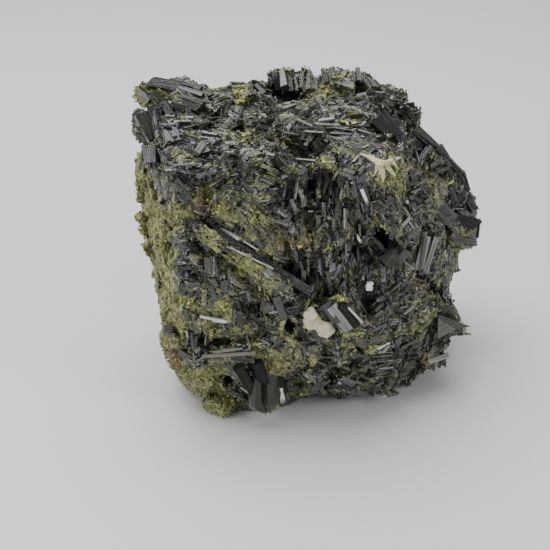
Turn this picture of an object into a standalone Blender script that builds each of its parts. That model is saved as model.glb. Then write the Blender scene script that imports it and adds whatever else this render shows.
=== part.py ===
"""A free-standing chunk of intergrown epidote crystals, one closed faceted body.

Metres, +Z up, the front of the specimen faces -Y. All lengths below are in millimetres and are
multiplied by MM where the meshes are made.
"""

import math
import random

import bpy
import bmesh
from mathutils import Matrix, Vector, noise

MM = 0.001
SEED = 6

# Where the outline of the mass goes, level by level. Each outline starts at the front left edge and
# goes round anticlockwise: front left, front, front, front right edge, right, rear right lobe, back
# right, back left, left.
LEVELS = (
    (-1.0, ((-30, -22), (-18, -22), (-4, -14), (10, -16), (20, -3),
           (24, 15), (8, 23), (-25, 21), (-40, 2))),
    (7.0, ((-36, -24), (-18, -27), (-3, -25), (11, -24), (28, -8),
           (29, 14), (10, 27), (-30, 25), (-42, 2))),
    (18.0, ((-40, -26), (-18, -30), (-1, -30), (17, -25), (30, -8),
           (31, 18), (12, 29), (-34, 26), (-43, 3))),
    (26.0, ((-37, -28), (-18, -32), (0, -32), (20, -25), (29, -8),
           (38, 26), (14, 31), (-36, 26), (-45, 4))),
    (36.0, ((-35, -30), (-18, -32), (0, -32), (18, -25), (26, -5),
           (40, 28), (14, 32), (-37, 25), (-47, 4))),
    (46.0, ((-35, -30), (-18, -32), (0, -31), (15, -27), (20, -14),
           (35, 24), (14, 30), (-38, 24), (-48, 5))),
    (58.0, ((-35, -31), (-18, -31), (0, -30), (14, -29), (17, -5),
           (27, 20), (10, 26), (-38, 21), (-46, 4))),
    (69.0, ((-35, -30), (-18, -29), (0, -27), (13, -30), (15, -5),
           (18, 14), (6, 21), (-35, 18), (-43, 2))),
)

# The level used to share out the steps around an outline.
USUAL_LEVEL = 40.0
STEP_AROUND = 7.3
STEP_UP = 6.4

# The top is a shallow slope that rises to the back, and its rim lies a little lower. The underside
# is rough, and the ground cut takes off what reaches below zero.
CAP_RINGS = (0.85, 0.58, 0.3)
RIM_DROP = 1.6
CAP_STRAY = 2.5
CAP_STRAY_CELL = 4.0
TOP_MIDDLE = (-12.0, -4.0)
TOP_HEIGHT = 72.3
TOP_RISE = 0.12
UNDER_MIDDLE = (-8.0, 2.0)
UNDER_HEIGHT = -0.6
UNDER_RELIEF = 2.4

# Ledges: cells of the mass pushed in or out as blocks, along a slanted grid. The left flank, where
# X is under FLANK_FROM, is calmer.
LEDGE_CELL = 8.0
LEDGE_TURN = 0.5
LEDGE_AXIS = (1.0, 0.4, 0.2)
LEDGE_PUSH = 1.6
ROUGHNESS = 0.7
ROUGH_CELL = 3.1
WAVE = 1.6
WAVE_CELL = 5.0
UNDER_CELL = 9.0
FLANK_FROM = -36.0
FLANK_CALM = 0.35

# Crystals scattered over the mass. SPACING keeps two of them from growing at one place. SUNK is the
# share of a crystal's thickness that its middle lies under the surface.
SCATTERED = 170
SPACING = 7.0
CRYSTAL_LENGTH = (7.0, 15.0)
CRYSTAL_WIDTH = (3.6, 7.0)
CRYSTAL_FLATNESS = (0.5, 0.85)
SUNK = 0.22
SUNK_ON_FLANK = 0.35
LOWEST = 6.0
PRISM_SHARE = 0.3
LYING_SHARE = 0.85
LYING = (-0.15, 0.1)
STANDING = (0.15, 0.4)
STRAY = 0.3
ROLL = 0.5
SLANT = 0.6
ROOT_SHARE = 0.9

# Which way a face looks: over these shares of its normal it counts as top, front, right or flank.
TOP_FACE = 0.7
FRONT_FACE = -0.5
RIGHT_FACE = 0.4
FLANK_FACE = -0.75
GRAIN_CELL = 17.0
GRAIN_LEAN = 1.5

# The two outlines that crystals have across their length, as shares of half width and thickness.
LATH = ((1.0, 1.0), (-0.8, 1.0), (-1.0, -1.0), (0.8, -1.0))
PRISM = ((1.0, 0.15), (0.5, 1.0), (-0.55, 0.95), (-1.0, -0.15), (-0.5, -1.0), (0.55, -0.95))

# The main crystals: root, tip, the way the flat side looks, width, thickness, section, end slant.
# The end slant tilts the end face, as a share of the width.
FRONT = (0.0, -1.0, 0.2)
UP = (0.0, 0.0, 1.0)
RIGHT = (0.8, -0.3, 0.4)
MAIN = (
    # Two thick prisms, a blade and a block at the top left corner.
    ((-35, 20, 70), (-43.5, 9, 73.2), UP, 7.5, 5.5, PRISM, 0.3),
    ((-28, 10, 71.5), (-36.5, 17, 73.5), UP, 4.5, 3.0, LATH, -0.2),
    ((-27, 5, 69), (-36, 11, 72), UP, 4.5, 3.5, LATH, 0.1),
    ((-34, -3, 67.5), (-45.6, -2.5, 69.8), UP, 7.5, 6.0, PRISM, 0.3),
    ((-36, -10, 64), (-42, -13.5, 66), UP, 6.0, 5.0, PRISM, 0.1),
    # Laths over the middle of the top.
    ((-19, -5, 70), (-5, -3, 71.5), UP, 6.0, 4.5, LATH, 0.2),
    ((-14, 3, 71), (-8, -12, 71), UP, 5.0, 4.0, PRISM, 0.1),
    # Knobs along the back of the top.
    ((-10.5, 17, 66), (-10.8, 18, 75.8), FRONT, 5.0, 4.5, PRISM, 0.1),
    ((-2, 19, 67), (-6, 16.5, 73.8), FRONT, 7.0, 4.5, LATH, 0.15),
    ((2, 20, 66), (3, 17.5, 74.3), FRONT, 6.0, 5.0, PRISM, -0.1),
    ((9, 20, 65), (9.5, 17, 74.0), FRONT, 6.5, 5.0, PRISM, 0.1),
    ((14, 15, 62), (15.5, 13, 72.0), FRONT, 5.5, 5.0, PRISM, 0.2),
    # Long dark crystals down the upper right edge.
    ((13, 12, 69.5), (23, 17, 58.5), RIGHT, 8.0, 4.4, LATH, 0.1),
    ((19, 13, 62), (29, 19, 50), RIGHT, 8.0, 4.8, PRISM, 0.1),
    ((25, 15, 55), (37, 23, 39.5), RIGHT, 9.0, 5.0, LATH, 0.1),
    ((31, 19, 47), (40.5, 26, 33.5), RIGHT, 8.0, 5.0, PRISM, 0.1),
    # The rear right lobe: a thick dark prism with laths under it.
    ((29, 19, 31), (42.0, 28.5, 27.0), UP, 6.0, 5.0, LATH, 0.5),
    ((28, 14, 28), (41.8, 27.5, 23.2), UP, 5.0, 3.4, PRISM, 0.1),
    ((24, 13, 26), (36, 26, 20.8), UP, 6.5, 3.4, LATH, 0.1),
    ((34, 22, 38), (40.6, 27.5, 31), RIGHT, 6.0, 5.0, LATH, 0.1),
    # A lath and an upright slab on the right flank.
    ((16, -17, 51), (23.5, -6, 51), RIGHT, 5.0, 3.0, LATH, 0.1),
    ((26.5, -6, 43), (25.5, -9, 32), RIGHT, 6.0, 4.0, LATH, 0.1),
    # The blocky point at the lower right, and a facet below it.
    ((24, -8, 20), (33.2, -9.5, 18.6), FRONT, 8.0, 6.0, LATH, 0.7),
    ((21, -7, 8), (29.5, -8, 6.8), UP, 5.0, 2.8, LATH, 0.5),
    ((9, -17, 5), (14.5, -18.5, 6), UP, 4.0, 3.4, LATH, 0.0),
    # The long blade across the front, and a shorter one beside it.
    ((-31, -31.5, 56), (-9.5, -33.2, 40), FRONT, 3.0, 3.4, LATH, 0.1),
    ((-16, -32, 44), (-9, -33, 36), FRONT, 3.4, 2.8, LATH, 0.1),
    # The crystal and the pale lump in the middle of the lower front.
    ((0, -31, 37), (6, -31.5, 28), FRONT, 6.5, 4.5, LATH, 0.1),
    ((-4, -31, 34.5), (-3, -31.5, 27), FRONT, 7.5, 4.6, PRISM, 0.0),
    # The big flat crystal at the foot, pointing down and right.
    ((-21, -27.5, 18), (-13.5, -27, 5.5), FRONT, 8.5, 4.5, PRISM, 0.15),
    # Long laths, a stick and a knob at the lower left.
    ((-34, -26.5, 18), (-18, -30.5, 24), FRONT, 3.4, 3.0, LATH, 0.1),
    ((-36, -25, 17.5), (-28, -28, 25), FRONT, 3.0, 2.6, LATH, 0.1),
    ((-35, -24, 25), (-38.5, -26, 25), FRONT, 7.0, 6.0, PRISM, 0.1),
    # Knobs along the foot, the first at its left corner.
    ((-24, -18, 3), (-29, -23, 1.5), UP, 8.0, 6.0, PRISM, 0.1),
    ((3, -19, 12), (3.5, -25.5, 9.5), UP, 6.5, 4.5, PRISM, 0.1),
    ((-4, -19, 11), (-3.5, -25.5, 9), UP, 6.0, 4.5, LATH, 0.1),
    ((9, -17, 9), (9.5, -23, 7), UP, 6.5, 5.0, LATH, 0.1),
)

# Pits: where each is cut in, its floor, how wide and how high. First the ones in the front, the
# right flank and the top, then those in the back.
PITS = (
    ((-8.5, 8, 76), (-8.5, 13.5, 70), 7.0, 3.5),
    ((11, -34, 51), (12, -23, 48), 5.5, 6.5),
    ((-29, -34, 64), (-27, -27, 62), 4.5, 5.5),
    ((-22, -34, 66), (-21, -28, 64), 5.0, 5.0),
    ((-39, -31, 56), (-34, -25, 53), 3.0, 6.0),
    ((-6, -36, 57), (-5, -27, 55), 3.0, 7.5),
    ((3, -36, 58), (3, -27, 56), 3.0, 7.5),
    ((-26, -34, 28), (-26, -25, 22), 7.5, 3.5),
    ((-11, -36, 31), (-9, -27, 29), 4.0, 5.0),
    ((20, -29, 36), (18, -20, 34), 5.0, 4.0),
    ((15, -32, 22), (14, -22, 21), 4.5, 4.5),
    ((-26, -32, 14), (-24, -22, 11), 4.0, 4.0),
    ((2, -34, 17), (2, -26, 15), 7.0, 3.0),
    ((27, -1, 50), (18, 2, 46), 5.0, 6.0),
    ((36, 8, 36), (27, 12, 33), 6.0, 5.0),
    ((-12, -18, 74), (-12, -14, 68), 6.5, 4.0),
    ((6, -8, 75), (6, -6, 68), 6.0, 4.0),
    ((-28, -8, 74), (-28, -4, 68), 4.0, 6.0),
    ((-25, 30, 60), (-24, 21, 57), 5.0, 7.0),
    ((4, 38, 48), (4, 28, 45), 6.0, 7.0),
    ((-12, 36, 30), (-12, 26, 27), 7.0, 5.0),
    ((22, 36, 34), (20, 27, 31), 5.0, 7.0),
    ((-30, 32, 18), (-29, 24, 16), 6.0, 5.0),
)

# What is cut off so that the specimen stands flat, as the low and the high corner of a block.
GROUND = ((-90.0, -90.0, -30.0), (90.0, 90.0, 0.0))


def lerp(a, b, t):
    return a + (b - a) * t


def outline_at(height):
    """The nine corners of the mass at this height, straight between two levels."""
    for (low, below), (high, above) in zip(LEVELS, LEVELS[1:]):
        if height <= high:
            t = (height - low) / (high - low)
            return [(lerp(p[0], q[0], t), lerp(p[1], q[1], t)) for p, q in zip(below, above)]
    return list(LEVELS[-1][1])


def steps_around():
    """How many steps each side of the outline gets; every level has the same."""
    corners = outline_at(USUAL_LEVEL)
    sides = zip(corners, corners[1:] + corners[:1])
    return [max(1, round(math.dist(a, b) / STEP_AROUND)) for a, b in sides]


def ring_at(height, counts):
    corners = outline_at(height)
    points = []
    for (a, b), count in zip(zip(corners, corners[1:] + corners[:1]), counts):
        for i in range(count):
            t = i / count
            points.append(Vector((lerp(a[0], b[0], t), lerp(a[1], b[1], t), height)))
    return points


def ledge(point):
    """A push in or out, the same over one cell of a slanted grid, with a little roughness on it."""
    turned = Matrix.Rotation(LEDGE_TURN, 3, LEDGE_AXIS) @ point
    block = noise.cell(turned / LEDGE_CELL)
    fine = noise.noise(point / ROUGH_CELL)
    push = LEDGE_PUSH * (2.0 * block - 1.0) + ROUGHNESS * fine
    return push * (FLANK_CALM if point.x < FLANK_FROM else 1.0)


def drift(point):
    """A smooth shift that differs from place to place."""
    return Vector([noise.noise(point + Vector((0.0, 0.0, 30.0 * i))) for i in range(3)])


def top_height(y):
    return TOP_HEIGHT + TOP_RISE * y


def top_relief(spot):
    return top_height(spot.y) + ledge(spot * 1.1)


def under_relief(spot):
    return UNDER_HEIGHT + UNDER_RELIEF * noise.noise(spot / UNDER_CELL)


def add_caps(bm, ring, middle, height, out):
    """Rings that shrink to the middle, each vertex at the given height."""
    centre = Vector((middle[0], middle[1], 0.0))
    last = ring
    for share in CAP_RINGS:
        made = []
        for vert in ring:
            spot = centre + (vert.co - centre) * share
            spot += CAP_STRAY * drift(spot / CAP_STRAY_CELL)
            spot.z = height(spot)
            made.append(bm.verts.new(spot))
        join_rings(bm, last, made, out)
        last = made
    tip = centre.copy()
    tip.z = height(tip)
    apex = bm.verts.new(tip)
    for a, b in zip(last, last[1:] + last[:1]):
        bm.faces.new((a, b, apex) if out else (b, a, apex))


def join_rings(bm, lower, upper, out=True):
    for i, a in enumerate(lower):
        b = lower[(i + 1) % len(lower)]
        c = upper[(i + 1) % len(upper)]
        d = upper[i]
        bm.faces.new((a, b, c, d) if out else (d, c, b, a))


def build_mass():
    """The blocky mass that the crystals grow from."""
    bm = bmesh.new()
    counts = steps_around()
    low, high = LEVELS[0][0], LEVELS[-1][0]
    levels = round((high - low) / STEP_UP)
    rings = []
    for k in range(levels + 1):
        height = lerp(low, high, k / levels)
        spots = ring_at(height, counts)
        middle = sum(spots, Vector()) / len(spots)
        ring = []
        for spot in spots:
            away = spot - middle
            away.z = 0.0
            moved = spot + away.normalized() * ledge(spot)
            if 0 < k < levels:
                moved.z += WAVE * noise.noise(spot / WAVE_CELL + Vector((9, 0, 0)))
            elif k == levels:
                moved.z = top_height(moved.y) - RIM_DROP
            ring.append(bm.verts.new(moved))
        if rings:
            join_rings(bm, rings[-1], ring)
        rings.append(ring)
    add_caps(bm, rings[-1], TOP_MIDDLE, top_relief, True)
    add_caps(bm, rings[0], UNDER_MIDDLE, under_relief, False)
    bmesh.ops.triangulate(bm, faces=bm.faces[:])
    bmesh.ops.recalc_face_normals(bm, faces=bm.faces[:])
    return bm


def frame_along(axis, up):
    """A matrix whose Z is the axis and whose Y looks as near to up as it can."""
    axis = axis.normalized()
    side = Vector(up).cross(axis).normalized()
    return Matrix((side, axis.cross(side), axis)).transposed()


def crystal(root, tip, up, width, thick, section=LATH, slant=0.3):
    """A straight crystal from root to tip, a little wider at the tip, with a slanted end."""
    bm = bmesh.new()
    root, tip = Vector(root), Vector(tip)
    length = (tip - root).length
    matrix = frame_along(tip - root, up)
    rings = []
    for along, share, tilt in ((0.0, ROOT_SHARE, 0.0), (length, 1.0, slant * width / 2)):
        ring = []
        for x, y in section:
            local = Vector((x * share * width / 2, y * share * thick / 2, along - tilt * x))
            ring.append(bm.verts.new(root + matrix @ local))
        if rings:
            join_rings(bm, rings[-1], ring)
        rings.append(ring)
    bm.faces.new(rings[0][::-1])
    bm.faces.new(rings[-1])
    bmesh.ops.recalc_face_normals(bm, faces=bm.faces[:])
    return bm


def grain(point, normal):
    """Which way the crystals lie here: near upright on the front, level on the top."""
    lean = noise.noise(point / GRAIN_CELL) * GRAIN_LEAN
    if normal.z > TOP_FACE:
        way = Vector((math.cos(lean), 0.35 + math.sin(lean), 0.0))
    elif normal.y < FRONT_FACE:
        way = Vector((math.sin(lean) - 0.25, 0.0, -math.cos(lean)))
    elif normal.x > RIGHT_FACE:
        way = Vector((0.35, 0.8 + math.sin(lean), -0.6))
    else:
        way = Vector((0.2, math.sin(lean), -math.cos(lean)))
    way -= normal * way.dot(normal)
    return way.normalized()


def stray(rng, size):
    return Vector([rng.uniform(-size, size) for _ in range(3)])


def spot_on(face, rng):
    shares = [rng.random() + 0.05 for _ in face.verts]
    return sum((v.co * w for v, w in zip(face.verts, shares)), Vector()) / sum(shares)


def crystal_on(at, normal, rng):
    """One crystal that lies in the surface here, or stands a little out of it."""
    flank = normal.x < FLANK_FACE
    way = grain(at, normal)
    if rng.random() < 0.5:
        way = -way
    low = flank or normal.z > TOP_FACE or rng.random() < LYING_SHARE
    out = rng.uniform(*LYING) if low else rng.uniform(*STANDING)
    aside = stray(rng, STRAY)
    way = (way + aside - normal * aside.dot(normal) + normal * out).normalized()
    width = rng.uniform(*CRYSTAL_WIDTH)
    thick = width * rng.uniform(*CRYSTAL_FLATNESS)
    length = rng.uniform(*CRYSTAL_LENGTH)
    depth = thick * (SUNK_ON_FLANK if flank else SUNK)
    start = at - normal * depth - way * (0.5 * length)
    up = normal + stray(rng, ROLL)
    section = PRISM if rng.random() < PRISM_SHARE else LATH
    slant = rng.uniform(-SLANT, SLANT)
    return crystal(start, start + way * length, up, width, thick, section, slant)


def scattered(mass):
    """Crystals over the whole surface but the lowest part, spaced apart."""
    rng = random.Random(SEED)
    faces = [f for f in mass.faces if f.calc_center_median().z > LOWEST]
    weights = [f.calc_area() for f in faces]
    starts, made = [], []
    for face in rng.choices(faces, weights, k=6 * SCATTERED):
        at = spot_on(face, rng)
        if len(made) == SCATTERED or any((at - other).length < SPACING for other in starts):
            continue
        starts.append(at)
        made.append(crystal_on(at, face.normal.copy(), rng))
    return made


def as_object(name, bm, collection):
    mesh = bpy.data.meshes.new(name)
    bmesh.ops.scale(bm, vec=(MM, MM, MM), verts=bm.verts[:])
    bm.to_mesh(mesh)
    bm.free()
    obj = bpy.data.objects.new(name, mesh)
    collection.objects.link(obj)
    return obj


def clear_scene():
    for obj in list(bpy.data.objects):
        bpy.data.objects.remove(obj, do_unlink=True)


def new_collection(name):
    made = bpy.data.collections.new(name)
    bpy.context.scene.collection.children.link(made)
    return made


def combine(obj, others, operation):
    """Takes the others into the object, or out of it, and removes them."""
    modifier = obj.modifiers.new("combine", "BOOLEAN")
    modifier.operation = operation
    modifier.solver = "EXACT"
    modifier.operand_type = "COLLECTION"
    modifier.collection = others
    graph = bpy.context.evaluated_depsgraph_get()
    mesh = bpy.data.meshes.new_from_object(obj.evaluated_get(graph))
    obj.modifiers.clear()
    obj.data = mesh
    for other in list(others.objects):
        bpy.data.objects.remove(other, do_unlink=True)


def linked_groups(bm):
    """The vertices of each connected piece of the mesh, the smallest piece first."""
    left = set(bm.verts)
    groups = []
    while left:
        stack = [left.pop()]
        group = set(stack)
        while stack:
            for edge in stack.pop().link_edges:
                for vert in edge.verts:
                    if vert in left:
                        left.discard(vert)
                        group.add(vert)
                        stack.append(vert)
        groups.append(group)
    return sorted(groups, key=len)


def keep_largest(obj):
    """Drops loose chips and closed pockets, so that one outer surface is left."""
    bm = bmesh.new()
    bm.from_mesh(obj.data)
    for group in linked_groups(bm)[:-1]:
        bmesh.ops.delete(bm, geom=list(group), context="VERTS")
    bm.to_mesh(obj.data)
    bm.free()


def block(low, high):
    bm = bmesh.new()
    bmesh.ops.create_cube(bm, size=1.0)
    for vert in bm.verts:
        vert.co = Vector([lerp(low[i], high[i], vert.co[i] + 0.5) for i in range(3)])
    return bm


def centre(obj):
    """Puts the middle of the body's box over the origin, with its lowest face at zero."""
    spots = [v.co for v in obj.data.vertices]
    low = Vector([min(p[i] for p in spots) for i in range(3)])
    high = Vector([max(p[i] for p in spots) for i in range(3)])
    move = -(low + high) / 2
    move.z = -low.z
    obj.data.transform(Matrix.Translation(move))
    print("moved", [round(x / MM, 2) for x in move])


def add_material(obj):
    material = bpy.data.materials.new("epidote")
    material.use_nodes = True
    shader = material.node_tree.nodes["Principled BSDF"]
    shader.inputs["Base Color"].default_value = (0.045, 0.055, 0.04, 1.0)
    shader.inputs["Roughness"].default_value = 0.35
    shader.inputs["Metallic"].default_value = 0.0
    obj.data.materials.clear()
    obj.data.materials.append(material)


def main():
    clear_scene()
    mass = build_mass()
    crystals = scattered(mass) + [crystal(*row) for row in MAIN]
    body = as_object("epidote_cluster", mass, bpy.context.scene.collection)
    grown = new_collection("grown")
    for i, bm in enumerate(crystals):
        as_object("crystal_%d" % i, bm, grown)
    combine(body, grown, "UNION")
    cutters = new_collection("cutters")
    as_object("ground", block(*GROUND), cutters)
    for i, (mouth, floor, width, height) in enumerate(PITS):
        as_object("pit_%d" % i, crystal(floor, mouth, UP, width, height, PRISM, 0.0), cutters)
    combine(body, cutters, "DIFFERENCE")
    keep_largest(body)
    centre(body)
    add_material(body)


main()
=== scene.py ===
"""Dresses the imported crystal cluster: a granular body, thousands of small prisms and blades grown on
it, the larger crystals of the photographed side, and the materials, floor, light and camera.

Lengths are in millimetres and are multiplied by MM where the meshes are made. Pixels are those of
the photograph.
"""

import math

import bpy
import bmesh
import numpy as np
from mathutils import Matrix, Vector, kdtree, noise
from mathutils.bvhtree import BVHTree


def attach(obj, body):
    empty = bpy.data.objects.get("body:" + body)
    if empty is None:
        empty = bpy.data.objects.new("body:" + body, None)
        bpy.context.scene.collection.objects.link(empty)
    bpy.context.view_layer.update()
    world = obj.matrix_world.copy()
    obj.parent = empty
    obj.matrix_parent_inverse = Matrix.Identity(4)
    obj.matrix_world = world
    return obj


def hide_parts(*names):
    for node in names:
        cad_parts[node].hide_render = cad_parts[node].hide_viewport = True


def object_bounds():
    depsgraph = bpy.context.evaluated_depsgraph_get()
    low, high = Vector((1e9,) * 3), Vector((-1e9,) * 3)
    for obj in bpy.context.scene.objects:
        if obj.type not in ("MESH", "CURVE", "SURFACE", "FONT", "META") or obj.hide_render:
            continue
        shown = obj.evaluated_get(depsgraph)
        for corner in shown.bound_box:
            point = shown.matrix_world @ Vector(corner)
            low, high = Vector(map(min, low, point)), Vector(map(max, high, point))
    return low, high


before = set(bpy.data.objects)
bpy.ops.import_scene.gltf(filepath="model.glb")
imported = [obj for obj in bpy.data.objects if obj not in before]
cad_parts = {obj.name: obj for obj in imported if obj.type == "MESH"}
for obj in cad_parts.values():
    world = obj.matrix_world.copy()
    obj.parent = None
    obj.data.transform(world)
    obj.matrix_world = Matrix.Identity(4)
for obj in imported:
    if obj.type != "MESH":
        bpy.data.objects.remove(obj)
CAD_BOX = [list(corner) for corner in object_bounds()]

MM = 0.001
IN_MM = 1000.0
NODE = "epidote_cluster"
SEED = 11
rng = np.random.default_rng(SEED)

LOW, HIGH = IN_MM * np.array(CAD_BOX)
MIDDLE = (LOW + HIGH) / 2
HALF = (HIGH - LOW) / 2
# Crystals stay this far inside the CAD box.
EDGE = 0.15
SIDES = ("left", "right", "front", "back", "under", "top")

# The photograph's camera. MOVED is where part.py's centring put the specimen, and PIXEL is what one
# pixel measures there.
MOVED = np.array([1.87, 0.56, 0.0])
CAMERA = np.array([-13.0, -262.0, 160.0]) + MOVED
PITCH, ROLL, FOCAL = math.radians(26.86), math.radians(-1.2), 1136.0
PHOTO = 550.0
PIXEL = 0.256
SENSOR = 36.0
AHEAD = np.array([0.0, math.cos(PITCH), -math.sin(PITCH)])
OVER = np.array([0.0, math.sin(PITCH), math.cos(PITCH)])
ACROSS = np.array([1.0, 0.0, 0.0])
CAM_X = math.cos(ROLL) * ACROSS + math.sin(ROLL) * OVER
CAM_Y = -math.sin(ROLL) * ACROSS + math.cos(ROLL) * OVER


def unit(v):
    v = np.asarray(v, float)
    return v / np.maximum(np.linalg.norm(v, axis=-1, keepdims=True), 1e-9)


def fractal(points, cell, octaves=3):
    """Smooth noise at each point, about -1 to 1."""
    return np.array([noise.fractal(Vector(p) / cell, 1.0, 2.0, octaves) for p in points])


def tree_of(points):
    tree = kdtree.KDTree(len(points))
    for i, point in enumerate(points):
        tree.insert(Vector(point), i)
    tree.balance()
    return tree


def nearest_in(tree, points):
    return np.array([tree.find(Vector(p))[1] for p in points])


# Meshes and pieces.

def places_of(mesh):
    """Where the vertices are, in millimetres, and their normals."""
    return IN_MM * np.array([v.co for v in mesh.vertices]), np.array([v.normal for v in mesh.vertices])


def set_places(mesh, places):
    mesh.vertices.foreach_set("co", (np.asarray(places) * MM).astype(np.float32).ravel())


def set_grain(mesh, uvs):
    """Stores how far across and along its crystal each corner lies, in millimetres."""
    layer = mesh.uv_layers.new(name="grown")
    layer.data.foreach_set("uv", np.asarray(uvs, np.float32).ravel())
    mesh.uv_layers.active = layer


def set_tones(mesh, tones, domain="POINT"):
    """Stores the tone, olive, rust and the share free of painted shade that the materials read."""
    attribute = mesh.color_attributes.new("tone", "FLOAT_COLOR", domain)
    attribute.data.foreach_set("color", np.asarray(tones, np.float32).ravel())


def add_object(name, data):
    made = bpy.data.objects.new(name, data)
    bpy.context.scene.collection.objects.link(made)
    return made


def add_piece(name, mesh, material):
    """Puts the mesh into the scene as a piece that takes the CAD solid's place."""
    mesh.materials.clear()
    mesh.materials.append(material)
    piece = add_object(name, mesh)
    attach(piece, "root")
    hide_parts(NODE)


def add_polygons(name, verts, loops, sizes, uvs, tones, material):
    """A flat-shaded piece of polygons; uvs has a row for each loop, tones one for each vertex."""
    mesh = bpy.data.meshes.new(name)
    mesh.vertices.add(len(verts))
    set_places(mesh, verts)
    mesh.loops.add(len(loops))
    mesh.loops.foreach_set("vertex_index", np.asarray(loops, np.int32))
    starts = np.concatenate([[0], np.cumsum(sizes)[:-1]]).astype(np.int32)
    mesh.polygons.add(len(sizes))
    mesh.polygons.foreach_set("loop_start", starts)
    mesh.polygons.foreach_set("loop_total", np.asarray(sizes, np.int32))
    mesh.update(calc_edges=True)
    set_grain(mesh, uvs)
    set_tones(mesh, tones)
    mesh.validate()
    mesh.shade_flat()
    add_piece(name, mesh, material)


def remeshed(mesh, step):
    """A new mesh of the same form with its vertices at an even step, in millimetres."""
    holder = add_object("remesh_copy", mesh)
    remesh = holder.modifiers.new("even", "REMESH")
    remesh.mode = "VOXEL"
    remesh.voxel_size = step * MM
    graph = bpy.context.evaluated_depsgraph_get()
    even = bpy.data.meshes.new_from_object(holder.evaluated_get(graph))
    bpy.data.objects.remove(holder, do_unlink=True)
    return even


# The surface that everything grows on.

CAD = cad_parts[NODE].data
CAD.calc_loop_triangles()
POINTS, POINT_NORMALS = places_of(CAD)
FACES = np.array([t.vertices for t in CAD.loop_triangles])
CORNERS = POINTS[FACES]
CROSS = np.cross(CORNERS[:, 1] - CORNERS[:, 0], CORNERS[:, 2] - CORNERS[:, 0])
AREA = 0.5 * np.linalg.norm(CROSS, axis=1)
NORMAL = unit(CROSS)
TREE = BVHTree.FromPolygons(POINTS.tolist(), FACES.tolist())
# Triangles whose normals agree this well are one facet.
SAME_WAY = 0.9995


def facets():
    """Groups the triangles into flat facets: the facet of each triangle, its area, its long way."""
    owners = {}
    for t, face in enumerate(FACES):
        for a, b in ((face[0], face[1]), (face[1], face[2]), (face[2], face[0])):
            owners.setdefault((min(a, b), max(a, b)), []).append(t)
    parent = list(range(len(FACES)))

    def top(t):
        while parent[t] != t:
            parent[t] = parent[parent[t]]
            t = parent[t]
        return t

    for ends in owners.values():
        if len(ends) == 2 and NORMAL[ends[0]] @ NORMAL[ends[1]] > SAME_WAY:
            parent[top(ends[0])] = top(ends[1])
    roots = np.array([top(t) for t in range(len(FACES))])
    kept, group = np.unique(roots, return_inverse=True)
    spread = np.zeros((len(kept), 3, 3))
    for (a, b), ends in owners.items():
        if len(ends) == 2 and group[ends[0]] == group[ends[1]]:
            continue
        edge = POINTS[b] - POINTS[a]
        for t in ends:
            spread[group[t]] += np.outer(edge, edge) / (np.linalg.norm(edge) + 1e-9)
    long_way = np.linalg.eigh(spread)[1][:, :, 2]
    return group, np.bincount(group, AREA), long_way


FACET, FACET_AREA, FACET_WAY = facets()


def surface_points(count):
    """Points spread evenly over the surface, with the normal and the number of each one's triangle."""
    face = rng.choice(len(FACES), size=count, p=AREA / AREA.sum())
    a, b = rng.random((2, count))
    turn = a + b > 1
    a, b = np.where(turn, 1 - a, a), np.where(turn, 1 - b, b)
    corner = CORNERS[face]
    edge_1, edge_2 = corner[:, 1] - corner[:, 0], corner[:, 2] - corner[:, 0]
    return corner[:, 0] + edge_1 * a[:, None] + edge_2 * b[:, None], NORMAL[face], face


def side_of(points):
    """Which side of the specimen each point belongs to, as an index into SIDES."""
    share = (points - MIDDLE) / HALF
    reach = np.stack([-share[:, 0], share[:, 0], -share[:, 1], share[:, 1], -share[:, 2], share[:, 2]])
    return np.argmax(reach, axis=0)


# Crystals.

# Outlines across a crystal, as shares of half its width and half its thickness.
LATH = np.array([(1.0, 1.0), (-0.8, 1.0), (-1.0, -1.0), (0.8, -1.0)])
PRISM = np.array([(1.0, 0.15), (0.5, 1.0), (-0.55, 0.95), (-1.0, -0.15), (-0.5, -1.0), (0.55, -0.95)])
BLOCK = np.array([(1.0, 0.35), (0.7, 1.0), (-0.85, 0.9), (-1.0, -0.3), (-0.6, -1.0), (0.8, -0.85)])


def grooved(lines=4, depth=0.16):
    """A lath whose broad faces carry ridges along it, as epidote's do."""
    top = []
    for i in range(lines + 1):
        x = 1.0 - 1.8 * i / lines
        top += [(x, 1.0 - depth * (i % 2)), (x - 0.55 / lines, 1.0 - depth * (i % 2))]
    top = top[:-1]
    under = [(-x, -y) for x, y in top]
    return np.array(top + under)


GROOVED = grooved()

# The grain on a crystal's faces: how far it moves from face to face and over a cap, as shares of the
# width, how it lies on a face's four corners, and how far it may be shifted as a whole.
FACE_STEP, CAP_REACH = 0.37, 0.4
FACE_ACROSS, FACE_ALONG = np.array([0.0, 1.0, 1.0, 0.0]), np.array([0.0, 0.0, 1.0, 1.0])
GRAIN_SHIFT = 50


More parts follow.
